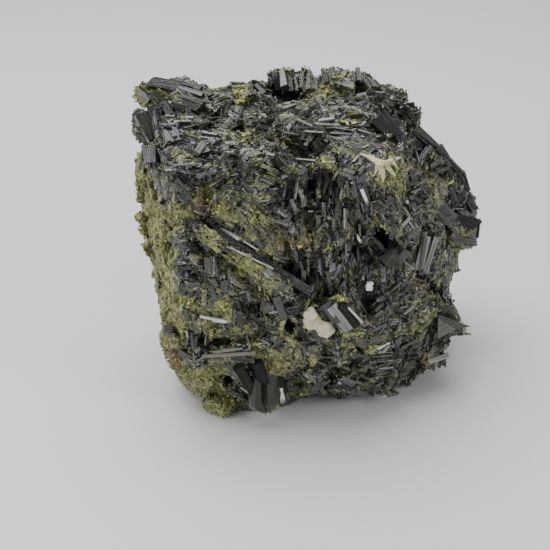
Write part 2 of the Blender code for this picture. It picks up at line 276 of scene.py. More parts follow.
class Crystals:
    """Collects crystals, each a row of numbers, and turns them into one mesh."""

    def __init__(self):
        self.parts = []

    def add(self, root, way, up, length, width, thick, section, slant, taper, tone):
        """Each is an array with a row or a number per crystal; section is one outline for all."""
        count = len(root)
        if not count:
            return
        way = unit(way)
        side = unit(np.cross(up, way))
        top = np.cross(way, side)
        corners = len(section)
        x = section[None, :, 0] * width[:, None] / 2
        y = section[None, :, 1] * thick[:, None] / 2
        across = side[:, None] * x[..., None] + top[:, None] * y[..., None]
        reach = length[:, None] - slant[:, None] * x
        lower = root[:, None] + across
        upper = root[:, None] + across * taper[:, None, None] + way[:, None] * reach[..., None]
        verts = np.concatenate([lower, upper], axis=1)
        verts = self.inside(verts)
        self.parts.append((verts, corners, width, length, tone))

    def inside(self, verts):
        """Crystals that reach out of the CAD box are pushed back in."""
        low, high = verts.min(axis=1), verts.max(axis=1)
        push = np.maximum(LOW + EDGE - low, 0) - np.maximum(high - (HIGH - EDGE), 0)
        return verts + push[:, None]

    def build(self, name, material):
        verts, loops, sizes, uvs, tones = [], [], [], [], []
        base = 0
        for block, m, width, length, tone in self.parts:
            n = len(block)
            start = base + np.arange(n)[:, None] * 2 * m
            verts.append(block.reshape(-1, 3))
            tones.append(np.repeat(tone, 2 * m, axis=0))
            shift = rng.uniform(0, GRAIN_SHIFT, (n, 2))
            faces, grain = [], []
            for i in range(m):
                j = (i + 1) % m
                faces.append(start + np.array([i, j, m + j, m + i]))
                u = width[:, None] * (i * FACE_STEP + FACE_ACROSS)
                grain.append(np.stack([u, length[:, None] * FACE_ALONG], axis=2))
            faces += [start + np.arange(m)[::-1], start + m + np.arange(m)]
            caps = np.zeros((n, 2 * m, 2))
            caps[..., 0] = np.tile(np.linspace(0, CAP_REACH, m), 2)
            loops.append(np.concatenate(faces, axis=1).ravel())
            sizes.append(np.tile([4] * m + [m, m], n))
            uvs.append((np.concatenate([*grain, caps], axis=1) + shift[:, None]).reshape(-1, 2))
            base += n * 2 * m
        parts = [np.concatenate(rows) for rows in (verts, loops, sizes, uvs, tones)]
        add_polygons(name, *parts, material)


# From the photograph's pixels to places on the surface.

def ray_through(px, py):
    x, y = (px - PHOTO / 2) / FOCAL, (PHOTO / 2 - py) / FOCAL
    return x * CAM_X + y * CAM_Y + AHEAD


def hit(px, py):
    """Where a pixel of the photograph meets the surface: the share of the ray, and the normal."""
    ray = ray_through(px, py)
    place, normal, _, away = TREE.ray_cast(Vector(CAMERA), Vector(unit(ray)))
    if place is None:
        return None
    return away / np.linalg.norm(ray), np.array(normal)


def point_at(px, py):
    found = hit(px, py)
    return None if found is None else CAMERA + ray_through(px, py) * found[0]


# Olive crust: pixel, reach in millimetres, how much.
OLIVE_SPOTS = (
    (184, 306, 4.0, 0.9), (195, 322, 5.0, 0.8), (212, 335, 5.0, 0.8), (232, 343, 5.0, 0.7),
    (258, 357, 4.5, 0.6), (277, 367, 3.5, 0.6), (185, 385, 8.0, 1.0), (205, 400, 8.0, 1.0),
    (222, 412, 6.0, 0.9), (200, 372, 6.0, 0.9), (218, 385, 5.0, 0.9), (245, 254, 5.0, 0.6),
    (212, 238, 4.0, 0.6), (222, 310, 3.5, 0.7), (207, 196, 4.0, 0.7), (219, 208, 3.0, 0.8),
    (250, 212, 4.0, 0.6), (268, 222, 3.0, 0.5), (295, 240, 5.0, 0.3), (248, 140, 2.5, 1.0),
    (354, 121, 2.2, 1.0), (243, 92, 3.0, 0.8), (322, 165, 2.5, 0.8), (375, 345, 3.5, 0.8),
    (230, 330, 5.0, 0.4), (148, 95, 5.0, 0.7), (152, 132, 3.0, 0.7), (290, 142, 5.0, 0.4),
    (330, 95, 5.0, 0.4), (360, 92, 6.0, 0.35), (395, 140, 4.0, 0.3), (430, 190, 7.0, 0.3),
    (250, 275, 6.0, 0.4), (248, 266, 3.5, 0.9), (236, 261, 3.0, 0.8), (211, 240, 3.5, 0.9),
    (395, 174, 3.0, 0.9), (399, 186, 2.5, 0.7), (340, 345, 7.0, 0.35), (300, 385, 7.0, 0.3),
    (420, 330, 6.0, 0.25), (175, 215, 4.0, 0.5),
)
RUST_SPOTS = (
    (172, 358, 4.5, 0.9), (203, 208, 3.0, 0.8), (296, 242, 5.0, 0.5), (413, 278, 4.0, 0.7),
    (372, 320, 3.0, 0.5), (140, 150, 2.0, 0.3), (175, 372, 4.0, 0.5),
)
# Hollows: pixel, reach in millimetres, how much. The surface sinks there, and its colour goes towards black
# as painted shade.
HOLLOW_SHADE_SPOTS = (
    (192, 178, 4.0, 0.9), (290, 205, 5.0, 0.9), (304, 148, 3.5, 0.9), (322, 185, 4.0, 0.9),
    (380, 240, 6.5, 1.0), (302, 275, 5.0, 0.8), (240, 165, 4.0, 0.6), (171, 228, 2.5, 1.0),
    (288, 96, 4.0, 1.0), (385, 128, 6.0, 0.5), (365, 103, 6.0, 0.35), (398, 112, 5.0, 0.4),
    (415, 150, 4.0, 0.4), (198, 345, 3.5, 1.0), (370, 300, 4.0, 0.6), (445, 220, 4.0, 0.6),
    (249, 368, 2.5, 1.0), (196, 340, 2.0, 0.6), (361, 345, 1.6, 0.8), (361, 360, 1.6, 0.7),
    (400, 355, 5.0, 0.6), (262, 312, 3.5, 0.5),
)


# A spot fades out at this many times its reach.
SPOT_END = 1.35

# The olive-tan left flank: the share of the half width where it starts, the height and the depth
# where it ends, each with the width of its fade, and the share from which a place counts as on it.
FLANK_START, FLANK_FADE = 0.68, 0.10
FLANK_TOP, FLANK_TOP_FADE = 60.0, 3.0
FLANK_BACK, FLANK_BACK_FADE = 20.0, 5.0
ON_FLANK = 0.4
# How far its edge wanders along x, y and z, broadly and in small.
BROADLY, IN_SMALL = np.array([3.0, 12.0, 9.0]), np.array([1.0, 4.0, 4.0])
# Its pits are long upwards.
PIT_STRETCH, PIT_CELL = np.array([1.0, 1.0, 0.45]), 2.4
# Sizes of the olive patches and flecks, the patches of painted shade and the rust, and the most that
# painted shade darkens.
PATCH_CELL, FLECK_CELL, SHADE_CELL, RUST_CELL = 7.0, 1.5, 5.0, 9.0
SHADE_MOST = 0.7


def spots_at(spots, points):
    """How strongly the nearest of these spots holds at each point, 0 to 1."""
    out = np.zeros(len(points))
    for px, py, reach, much in spots:
        middle = point_at(px, py)
        if middle is None:
            continue
        far = np.linalg.norm(points - middle, axis=1) / reach
        out = np.maximum(out, much * np.clip(SPOT_END - far, 0, 1))
    return out


def wander(points, steps, cell):
    """Three smooth noises side by side, each read this far away."""
    return np.stack([fractal(points + step, cell) for step in steps], axis=1)


def flank_at(points):
    """The olive-tan left flank: 1 on it, 0 away from it."""
    wide = wander(points, (0.0, 13.0, 26.0), 15.0)
    ragged = wander(points, (29.0, 58.0, 87.0), 4.0)
    behind = np.clip((points[:, 1:2] + 15) / 20, 0.2, 1)
    points = points + behind * (wide * BROADLY + ragged * IN_SMALL)
    share = (points - MIDDLE) / HALF
    outer = np.clip((-share[:, 0] - FLANK_START) / FLANK_FADE, 0, 1)
    low = np.clip((FLANK_TOP - points[:, 2]) / FLANK_TOP_FADE, 0, 1)
    return outer * low * np.clip((FLANK_BACK - points[:, 1]) / FLANK_BACK_FADE, 0, 1)


def pits_at(points):
    """The flank's small pits: below about -0.3 in one."""
    return fractal(points * PIT_STRETCH, PIT_CELL, 2)


def off_flank(points):
    return flank_at(points) < ON_FLANK


def on_flank(points):
    """On the flank, between its pits."""
    return (flank_at(points) >= ON_FLANK) & (pits_at(points) > -0.08)


def colour_at(points):
    """The shares of olive, rust and painted shade where a crystal or a vertex lies."""
    patch = fractal(points, PATCH_CELL)
    fleck = fractal(points + 91.0, FLECK_CELL)
    olive = np.clip(0.36 + 0.5 * patch + 0.8 * fleck, 0, 0.9)
    spots = spots_at(OLIVE_SPOTS, points)
    flank = flank_at(points)
    olive = np.clip(olive + 1.4 * spots + 1.2 * flank, 0, 1.3)
    # Painted shade: random patches away from the flank and the olive, and the hollows' spots, turn the
    # colour towards black and take the olive away.
    painted_shade_patches = SHADE_MOST * np.clip(1.8 * fractal(points + 71.0, SHADE_CELL) - 0.25, 0, 1)
    dark = np.maximum(spots_at(HOLLOW_SHADE_SPOTS, points), painted_shade_patches * (1 - flank) * (1 - spots))
    olive *= 1.0 - 0.9 * dark
    rust = spots_at(RUST_SPOTS, points) + np.clip(fractal(points + 37.0, RUST_CELL) - 0.45, 0, 1)
    rust = np.clip(rust + 0.16 * flank, 0, 1)
    return olive, rust, dark


# Materials.

class Nodes:
    """A material with one shader, and short calls for the nodes that the materials share."""

    def __init__(self, name, colour, rough, ior=1.7):
        self.material = bpy.data.materials.new(name)
        self.material.use_nodes = True
        self.tree = self.material.node_tree
        self.put({"Base Color": colour, "Roughness": rough, "IOR": ior})

    def put(self, inputs):
        """Sets or links these inputs of the shader."""
        for key, source in inputs.items():
            self.join(source, self.tree.nodes["Principled BSDF"].inputs[key])

    def new(self, kind, inputs=None, **values):
        """A node with these settings, and a number, a colour or a link at each of these inputs."""
        node = self.tree.nodes.new("ShaderNode" + kind)
        for key, value in values.items():
            setattr(node, key, value)
        for key, source in (inputs or {}).items():
            self.join(source, node.inputs[key])
        return node

    def join(self, source, target):
        if isinstance(source, (int, float)):
            target.default_value = source
        elif isinstance(source, tuple):
            target.default_value = (*source, 1.0)[:len(target.default_value)]
        else:
            self.tree.links.new(source, target)

    def math(self, kind, a, b=0.0, clamp=False):
        return self.new("Math", {0: a, 1: b}, operation=kind, use_clamp=clamp).outputs[0]

    def swing(self, value, amount):
        """How far the value is from 0.5, times this."""
        return self.math("MULTIPLY", self.math("SUBTRACT", value, 0.5), amount)

    def mix(self, share, a, b):
        return self.new("Mix", {"Factor": share, "A": a, "B": b}, data_type="RGBA").outputs["Result"]

    def ramp(self, value, low, high, to_low=0.0, to_high=1.0):
        ends = {"From Min": low, "From Max": high, "To Min": to_low, "To Max": to_high}
        return self.new("MapRange", {"Value": value, **ends}).outputs["Result"]

    def place(self, scale=(1, 1, 1), kind="Object"):
        where = self.new("TexCoord").outputs[kind]
        return self.new("Mapping", {"Scale": scale, "Vector": where}).outputs["Vector"]

    def noise(self, where, scale, detail=2.0, rough=0.5):
        inputs = {"Vector": where, "Scale": scale, "Detail": detail, "Roughness": rough}
        return self.new("TexNoise", inputs).outputs["Fac"]

    def striae(self, scale, detail=2.0, rough=0.6):
        """Noise drawn out along the crystal."""
        return self.noise(self.place(scale, "UV"), 1.0, detail, rough)

    def bump(self, height, strength, distance, normal=None):
        inputs = {"Height": height, "Strength": strength, "Distance": distance}
        if normal is not None:
            inputs["Normal"] = normal
        return self.new("Bump", inputs).outputs["Normal"]

    def tone(self):
        """The mesh's colour attribute, split: tone, olive, rust, and how free the place is of painted
        shade.
        """
        attribute = self.new("Attribute", attribute_name="tone")
        split = self.new("SeparateColor", {"Color": attribute.outputs["Color"]})
        return (*split.outputs, attribute.outputs["Alpha"])


BLACK = (0.006, 0.007, 0.006)
DARK = (0.028, 0.032, 0.027)
GREY = (0.060, 0.066, 0.052)
PALE = (0.40, 0.42, 0.41)
OLIVE_DARK = (0.052, 0.058, 0.018)
OLIVE = (0.15, 0.157, 0.05)
OLIVE_LIGHT = (0.37, 0.37, 0.13)
RUST = (0.11, 0.055, 0.018)
SMOKE, SMOKE_FOOT, SMOKE_TIP = (0.12, 0.12, 0.10), (0.005, 0.005, 0.005), (0.05, 0.046, 0.03)
# The smoky crystal's rim colour is a painted highlight.
SMOKE_RIM_HIGHLIGHT, SMOKE_VEIL = (0.55, 0.60, 0.60), (0.035, 0.033, 0.024)
GLOSS = 0.2
# Scales of the noises, in repeats for each metre.
CRUST_SCALE, SPECK_SCALE, BODY_GRAINS, FINE_SCALE = 1300.0, 1700.0, 1300.0, 1500.0
CLOUD_SCALE, STAIN_SCALE, VEIL_SCALE = 500.0, 260.0, 700.0
# Scales of the striations across and along a crystal, in repeats for each millimetre.
STRIAE, BROAD_STRIAE, SMOKY_STRIAE = (2.4, 0.12, 1.0), (0.75, 0.05, 1.0), (1.6, 0.08, 1.0)
# Depths of the bumps, in metres.
SPECK_DEPTH, STRIAE_DEPTH, FINE_DEPTH, PALE_DEPTH = 0.00012, 0.0004, 0.0003, 0.00025
# A stain on pale mineral is its deep colour, darker and browner.
STAIN_DARKER, STAIN_TINT = 0.72, (1.0, 0.92, 0.55)


def crust_colour(n, here, fine):
    """Olive powder, from dark to light."""
    low = n.mix(n.ramp(fine, 0.35, 0.6), OLIVE_DARK, OLIVE)
    return n.mix(n.ramp(n.noise(here, CRUST_SCALE, 3.0, 0.6), 0.45, 0.7), low, OLIVE_LIGHT)


def crystal_material():
    """Dark green crystal with striations along it and olive powder in patches."""
    n = Nodes("epidote_crystal", DARK, GLOSS)
    tone, olive, rust, unshaded = n.tone()
    here = n.place()
    narrow = n.math("MULTIPLY", n.striae(STRIAE), 0.55)
    broad = n.math("MULTIPLY", n.striae(BROAD_STRIAE, 1.0, 0.5), 0.45)
    lines = n.math("ADD", narrow, broad)
    speck = n.noise(here, SPECK_SCALE, 4.0, 0.7)
    shade = n.math("ADD", tone, n.swing(lines, 0.9))
    glass = n.mix(n.ramp(shade, 0.0, 0.7), BLACK, GREY)
    glass = n.mix(n.ramp(shade, 0.7, 1.1), glass, PALE)
    patch = n.ramp(n.math("ADD", olive, n.swing(speck, 2.0)), 0.5, 0.75)
    colour = n.mix(patch, glass, crust_colour(n, here, speck))
    colour = n.mix(n.math("MULTIPLY", rust, n.ramp(speck, 0.35, 0.6)), colour, RUST)
    rough = n.ramp(lines, 0.3, 0.7, GLOSS - 0.06, GLOSS + 0.14)
    rough = n.math("ADD", rough, n.math("MULTIPLY", patch, 0.5))
    rough = n.math("ADD", rough, n.ramp(unshaded, 0.0, 1.0, 0.35, 0.0), True)
    bump = n.bump(lines, 0.7, STRIAE_DEPTH, n.bump(speck, 0.3, SPECK_DEPTH))
    # Where the place is less free of painted shade, the colour goes to black: painted shade in the hollows.
    n.put({"Base Color": n.mix(unshaded, BLACK, colour), "Roughness": rough, "Normal": bump})
    return n.material


def body_material():
    """The granular body between the crystals."""
    n = Nodes("grown_body", DARK, 0.5)
    tone, olive, rust, unshaded = n.tone()
    here = n.place()
    grains = n.new("TexVoronoi", {"Vector": here, "Scale": BODY_GRAINS})
    speck = n.noise(here, FINE_SCALE, 4.0, 0.7)
    shade = n.math("ADD", n.math("MULTIPLY", tone, 0.6), n.math("MULTIPLY", speck, 0.3))
    rock = n.mix(shade, BLACK, GREY)
    patch = n.ramp(n.math("ADD", olive, n.swing(speck, 1.8)), 0.4, 0.7)
    colour = n.mix(patch, rock, crust_colour(n, here, speck))
    colour = n.mix(n.math("MULTIPLY", rust, n.ramp(speck, 0.3, 0.6)), colour, RUST)
    rough = n.ramp(patch, 0.0, 1.0, 0.38, 0.85)
    bump = n.bump(speck, 0.6, FINE_DEPTH, n.bump(grains.outputs["Distance"], 0.6, STRIAE_DEPTH))
    # Where the place is less free of painted shade, the colour goes to black: painted shade in the hollows
    # and pits.
    n.put({"Base Color": n.mix(unshaded, BLACK, colour), "Roughness": rough, "Normal": bump})
    return n.material


def pale_material(name, light, deep, rough=0.45):
    """Cream quartz and feldspar: cloudy, a little see-through at the edges."""
    n = Nodes(name, light, rough, 1.54)
    here = n.place()
    cloud = n.ramp(n.noise(here, CLOUD_SCALE, 4.0, 0.6), 0.35, 0.65)
    stain = n.ramp(n.noise(here, STAIN_SCALE, 3.0, 0.6), 0.56, 0.66)
    stained = tuple(STAIN_DARKER * c * k for c, k in zip(deep, STAIN_TINT))
    bump = n.bump(n.noise(here, FINE_SCALE, 4.0, 0.65), 0.5, PALE_DEPTH)
    n.put({"Base Color": n.mix(stain, n.mix(cloud, deep, light), stained), "Normal": bump})
    n.put({"Subsurface Weight": 0.25, "Subsurface Radius": (0.0012, 0.001, 0.0008)})
    return n.material


def dark_material():
    """Nearly black crystal, for the faces that mirror nothing bright."""
    n = Nodes("black_crystal", BLACK, 0.25, 1.5)
    lines = n.striae(STRIAE)
    colour = n.mix(n.ramp(lines, 0.5, 0.75), BLACK, DARK)
    n.put({"Base Color": colour, "Normal": n.bump(lines, 0.7, STRIAE_DEPTH), "Specular IOR Level": 0.18})
    return n.material


def smoky_material():
    """Dark glassy crystal, see-through where it is thin."""
    n = Nodes("smoky_crystal", SMOKE, 0.06, 1.6)
    n.put({"Transmission Weight": 0.6, "Specular IOR Level": 0.25})
    veil = n.ramp(n.noise(n.place(), VEIL_SCALE, 4.0, 0.6), 0.45, 0.75)
    along = n.new("SeparateXYZ", {"Vector": n.place(kind="UV")}).outputs
    lines = n.striae(SMOKY_STRIAE, rough=0.5)
    # The colour runs from near black at the root to smoky towards the end; near the end and on the left
    # faces a streaked rim is painted pale as a painted highlight.
    clear = n.mix(n.ramp(along["Y"], 2.5, 7.5), SMOKE_FOOT, SMOKE_TIP)
    painted_rim_highlight = n.math("ADD", n.ramp(along["Y"], 7.0, 11.5), n.ramp(along["X"], 4.8, 8.0, 0.0, 0.45))
    painted_rim_highlight = n.math("MULTIPLY", painted_rim_highlight, n.ramp(lines, 0.42, 0.62))
    clear = n.mix(n.ramp(painted_rim_highlight, 0.4, 1.2), clear, SMOKE_RIM_HIGHLIGHT)
    rough, bump = n.ramp(veil, 0.0, 1.0, 0.06, 0.22), n.bump(lines, 0.5, FINE_DEPTH)
    n.put({"Base Color": n.mix(veil, clear, SMOKE_VEIL), "Roughness": rough, "Normal": bump})
    return n.material


CRYSTAL = crystal_material()
BODY = body_material()
QUARTZ = pale_material("cream_quartz", (0.49, 0.46, 0.33), (0.37, 0.34, 0.22))
FELDSPAR = pale_material("pink_cream", (0.56, 0.53, 0.37), (0.42, 0.36, 0.20), 0.6)
YELLOW = pale_material("yellow_green", (0.50, 0.52, 0.12), (0.30, 0.33, 0.05), 0.5)
# Near-white faces for painted glints and a painted reflection.
PAINTED_GLINT = pale_material("painted_glint", (0.78, 0.77, 0.73), (0.6, 0.59, 0.55), 0.35)
NIGHT = dark_material()
SMOKY = smoky_material()

# Facets of the CAD form over this area, in square millimetres, stay bare as the clean faces of larger
# crystals, this share of them, and on the front none over the last area.
BARE_AREA, BARE_SHARE, FRONT_AREA = 9.0, 0.5, 16.0
FRONT = SIDES.index("front")
# The body: the step of its mesh, how many grains, and the height under which its foot stays flat.
BODY_STEP, GRAINS, FOOT = 0.66, 9000, 0.4


def bare_facets():
    middle = np.stack([
        np.bincount(FACET, AREA * CORNERS[:, :, axis].mean(axis=1)) / FACET_AREA for axis in range(3)
    ], axis=1)
    crusted = (flank_at(middle) > 0.2) | (spots_at(OLIVE_SPOTS, middle) > 0.35)
    crusted |= (FACET_AREA > FRONT_AREA) & (side_of(middle) == FRONT)
    return (FACET_AREA > BARE_AREA) & ~crusted & (rng.random(len(FACET_AREA)) < BARE_SHARE)


BARE = bare_facets()


def bare_crystals():
    """The CAD form itself, with a tone and a grain for each facet. It shows where the body sinks."""
    mesh = CAD.copy()
    mesh.name = "larger_crystals"
    bare = np.zeros(len(POINTS), bool)
    bare[FACES[BARE[FACET]].ravel()] = True
    inward = np.where(bare, 0.0, 1.0) + 2.2 * spots_at(HOLLOW_SHADE_SPOTS, POINTS) + 1.5 * flank_at(POINTS)
    inward = np.where(POINTS[:, 2] < 0.3, 0.0, inward)
    set_places(mesh, POINTS - POINT_NORMALS * inward[:, None])
    keys = {tuple(sorted(face)): t for t, face in enumerate(FACES.tolist())}
    loops = np.array([loop.vertex_index for loop in mesh.loops])
    owner = np.empty(len(loops), int)
    for polygon in mesh.polygons:
        t = keys[tuple(sorted(polygon.vertices))]
        owner[polygon.loop_start:polygon.loop_start + polygon.loop_total] = t
    where = POINTS[loops]
    way = FACET_WAY[FACET[owner]]
    side = np.cross(NORMAL[owner], way)
    shift = rng.uniform(0, GRAIN_SHIFT, (len(FACET_AREA), 2))[FACET[owner]]
    set_grain(mesh, np.stack([(where * side).sum(axis=1), (where * way).sum(axis=1)], axis=1) + shift)
    olive, rust, dark = colour_at(where)
    # In the hollows the tone is darkened and the colour turned towards black: painted shade.
    tone = np.clip(rng.beta(1.3, 4.0, len(FACET_AREA)), 0, 1)[FACET[owner]] * (1 - 0.7 * dark)
    set_tones(mesh, np.stack([tone, 0.75 * olive, rust, 1 - 0.85 * dark], axis=1), "CORNER")
    add_piece("larger_crystals", mesh, CRYSTAL)


def grown_body():
    """The CAD form at a finer step, with faceted grains pressed in and out of its surface."""
    mesh = remeshed(CAD.copy(), BODY_STEP)
    co, normal = places_of(mesh)
    seeds = surface_points(GRAINS)[0]
    nearest = nearest_in(tree_of(seeds), co)
    tilt = unit(rng.normal(size=(GRAINS, 3))) * rng.uniform(0.1, 0.55, (GRAINS, 1))
    rise = rng.uniform(-0.2, 0.5, GRAINS)
    push = rise[nearest] + ((co - seeds[nearest]) * tilt[nearest]).sum(axis=1)
    push = np.clip(push, -0.9, 0.9)
    flank = flank_at(co)
    hollow = pits_at(co)
    pits = flank * np.clip(hollow * 5.0 + 0.3, -2.2, 0.15)
    flat = (normal[:, 2] < -0.9) & (co[:, 2] < FOOT)
    bare = BARE[FACET[[TREE.find_nearest(Vector(p))[2] for p in co]]]
    olive, rust, dark = colour_at(co)
    push = np.where(flat, 0.0, np.where(bare, push * 0.3 - 0.8, push + pits) - 2.2 * dark)
    co += normal * push[:, None]
    co = np.clip(co, LOW, HIGH)
    tone = np.clip(0.35 + 0.3 * fractal(co, 3.0), 0, 1)
    # Painted shade: black in the hollows and in the flank's pits.
    painted_body_shade = np.maximum(0.85 * dark, 0.9 * flank * np.clip(-5.0 * hollow - 0.6, 0, 1))
    set_places(mesh, co)
    set_tones(mesh, np.stack([tone, olive, rust, 1 - painted_body_shade], axis=1))
    mesh.polygons.foreach_set("use_smooth", np.zeros(len(mesh.polygons), bool))
    mesh.update()
    add_piece("granular_body", mesh, BODY)


# Bundles: crystals near each other share a direction. Those of these sides lean this way, those of
# the front's upper right stand up, and those of the other sides lean anywhere.
BUNDLE_COUNT = 900
LEANS = {
    "top": (1.0, 0.15, 0.0), "front": (0.8, 0.0, -0.35), "right": (0.4, 0.6, 0.5), "left": (0.0, 0.2, 0.9),
}
UPRIGHT, UPRIGHT_RIGHT_OF, UPRIGHT_OVER = (0.1, 0.0, 1.1), -8, 30


def bundles():
    """A tree of the bundles' middles, and their directions."""
    spots = surface_points(BUNDLE_COUNT)[0]
    ways = rng.normal(size=(BUNDLE_COUNT, 3)) * 0.55
    for i, side in enumerate(side_of(spots)):
        name = SIDES[side]
        if name == "front" and spots[i][0] > UPRIGHT_RIGHT_OF and spots[i][2] > UPRIGHT_OVER:
            ways[i] = 0.6 * ways[i] + UPRIGHT
        elif name in LEANS:
            ways[i] += LEANS[name]
        else:
            ways[i] += rng.normal(size=3)
    return tree_of(spots), ways


BUNDLES, WAYS = bundles()

# Of the crystals that fall on a bare facet this share is kept, and of those on a larger crystal this.
ON_BARE, ON_SHOWN = 0.12, 0.1
# This share of those narrower than this width, in millimetres, are painted pale: painted glints.
GLINTS, GLINT_WIDTH = 0.015, 0.75
# How far a tip may stand out of the surface: slender crystals, and those at least this wide.
MOST_OUT, LARGE_OUT, LARGE_WIDTH = 1.0, 0.5, 1.5


def ways_at(points, normals, stray, out):
    """The direction of a crystal at each point: its bundle's, laid in the surface, with some stray."""
    way = WAYS[nearest_in(BUNDLES, points)] + rng.normal(size=points.shape) * stray
    way -= normals * (way * normals).sum(axis=1, keepdims=True)
    way = unit(way) * np.sign(rng.random((len(points), 1)) - 0.5)
    return unit(way + normals * out[:, None])


def tones_for(points, width, light):
    """Each crystal's tone, olive and rust, drawn around what holds where it lies, with painted glints on a
    few slender ones and the painted shade that colour_at gives.
    """
    count = len(points)
    olive, rust, dark = colour_at(points)
    tone = rng.beta(1.2, 3.6, count) * light + 0.8 * (rng.random(count) < GLINTS * (width < GLINT_WIDTH))
    olive = np.clip(olive * rng.uniform(0.4, 1.4, count) + rng.uniform(-0.2, 0.1, count), 0, 1)
    return np.stack([tone, olive, rust, 1 - 0.8 * dark], axis=1)


def clear_of(points, places):
    """False for points that a larger crystal covers."""
    free = np.ones(len(points), bool)
    for root, tip, width in places:
        way = tip - root
        t = np.clip(((points - root) @ way) / (way @ way), 0, 1)
        far = np.linalg.norm(points - root - t[:, None] * way, axis=1)
        free &= far > 0.55 * width + 0.2
    return free


def seated_tips(tips, most):
    """False for tips that stand further out of the surface than this."""
    found = [TREE.find_nearest(Vector(tip)) for tip in tips]
    place = np.array([f[0] for f in found])
    normal = np.array([f[1] for f in found])
    away = np.array([f[3] for f in found])
    return (((tips - place) * normal).sum(axis=1) < 0) | (away < most)


def grow(bunch, count, widths, lengths, flat, out, stray, light, lift, section, keep, plain):
    """Adds one size of crystals, spread over what keep() picks of the surface."""
    points, normals, face = surface_points(count)
    chosen = (normals[:, 2] > -0.9) | (points[:, 2] > 0.5)
    chosen &= ~BARE[FACET[face]] | (rng.random(count) < ON_BARE)
    deep = spots_at(HOLLOW_SHADE_SPOTS, points)
    points = points - normals * (1.6 * deep)[:, None]
    chosen &= rng.random(count) > 0.7 * deep
    chosen &= clear_of(points, PLACES) | (rng.random(count) < ON_SHOWN)
    chosen &= keep(points)
    points, normals = points[chosen], normals[chosen]
    count = len(points)
    width = rng.uniform(0, 1, count) ** 1.8 * (widths[1] - widths[0]) + widths[0]
    length = rng.uniform(0, 1, count) ** 1.5 * (lengths[1] - lengths[0]) + lengths[0]
    thick = width * rng.uniform(*flat, count)
    leaning = rng.uniform(*out, count) * np.clip(1.3 - 0.25 * length, 0.25, 1)
    way = ways_at(points, normals, stray, leaning)
    up = unit(normals + rng.normal(size=points.shape) * 0.35)
    sunk = thick * 0.5 - lift
    start = points - normals * sunk[:, None] - way * (length * rng.uniform(0.25, 0.5, count))[:, None]
    slant = rng.uniform(-0.7, 0.7, count)
    taper = rng.uniform(0.8, 1.08, count)
    most = MOST_OUT if widths[1] < LARGE_WIDTH else LARGE_OUT
    firm = seated_tips(start, most) & seated_tips(start + way * length[:, None], most)
    tone = tones_for(points, width, light)
    if plain:
        tone[:, 1] *= 0.15
    for side in range(len(SIDES)):
        here = (side_of(points) == side) & firm
        rows = [values[here] for values in (start, way, up, length, width, thick)]
        bunch[side].add(*rows, section, slant[here], taper[here], tone[here])


